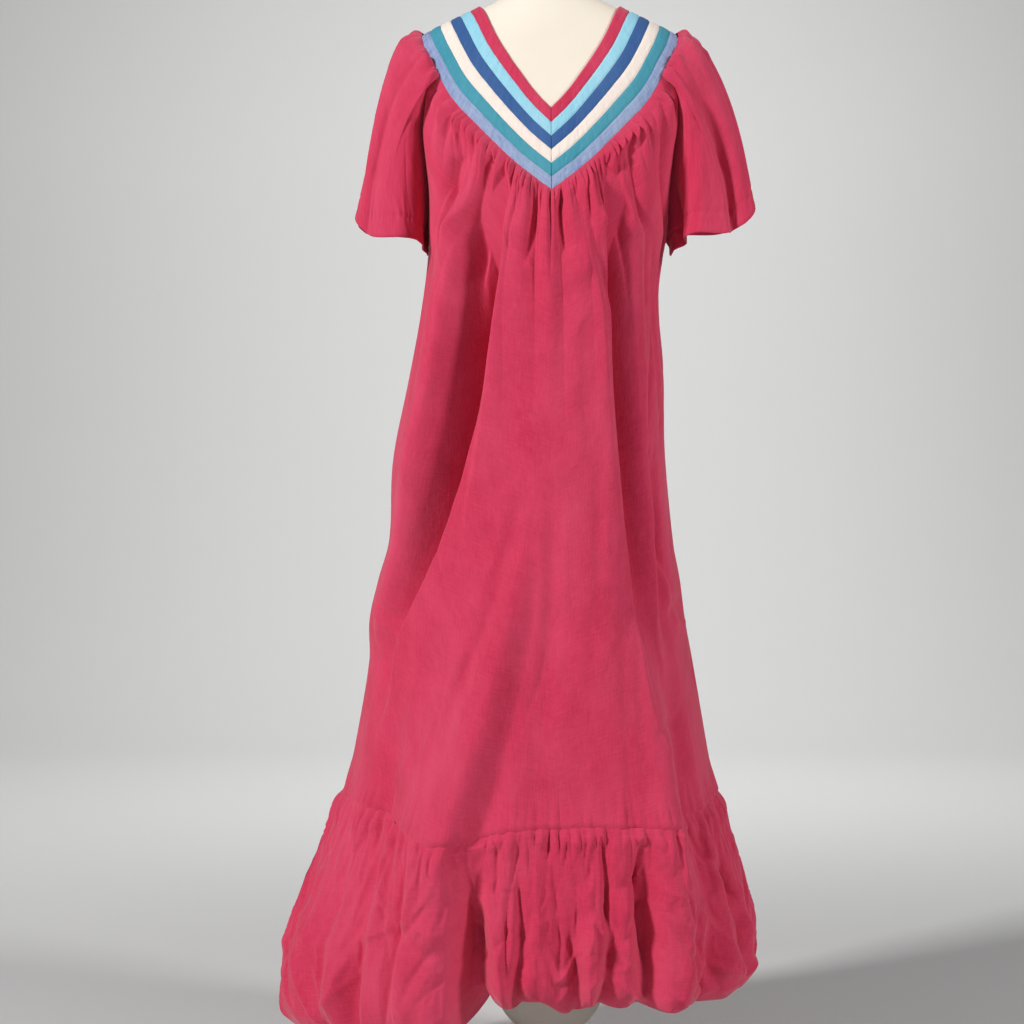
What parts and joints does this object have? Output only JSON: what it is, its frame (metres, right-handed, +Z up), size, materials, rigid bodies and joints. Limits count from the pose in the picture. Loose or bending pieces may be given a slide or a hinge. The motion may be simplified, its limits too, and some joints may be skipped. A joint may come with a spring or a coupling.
{
  "type": "kaftan maxi dress on a limbless dress form",
  "caption": "Loose ankle-length dress with a banded V yoke, short wide sleeves and a gathered ruffle, on a limbless form that stands on a turned foot.",
  "frame": {"origin": "centre of the stand's underside, on the floor", "axes": "+Z up along the stand and the form, -Y the front of the dress, +X the viewer's right"},
  "size_m": [0.602, 0.5132, 1.482],
  "materials": {
    "rose_cloth": "plain-woven cotton, matte",
    "sky_cloth": "plain-woven cotton, matte",
    "navy_cloth": "plain-woven cotton, matte",
    "cream_cloth": "plain-woven cotton, matte",
    "teal_cloth": "plain-woven cotton, matte",
    "periwinkle_cloth": "plain-woven cotton, matte",
    "form_jersey": "fine cream jersey",
    "stand_paint": "off-white satin paint",
    "pole_metal": "brushed"
  },
  "bodies": {
    "root": {"neckband_rose": "rose_cloth", "yoke_band_sky": "sky_cloth", "yoke_band_navy": "navy_cloth", "yoke_band_cream": "cream_cloth", "yoke_band_teal": "teal_cloth", "yoke_band_periwinkle": "periwinkle_cloth", "front_body": "rose_cloth", "back_body": "rose_cloth", "sleeve_left": "rose_cloth", "sleeve_right": "rose_cloth", "ruffle_front": "rose_cloth", "ruffle_back": "rose_cloth", "form_torso": "form_jersey", "stand_base": "stand_paint", "stand_pole": "pole_metal"}
  },
  "joints": []
}
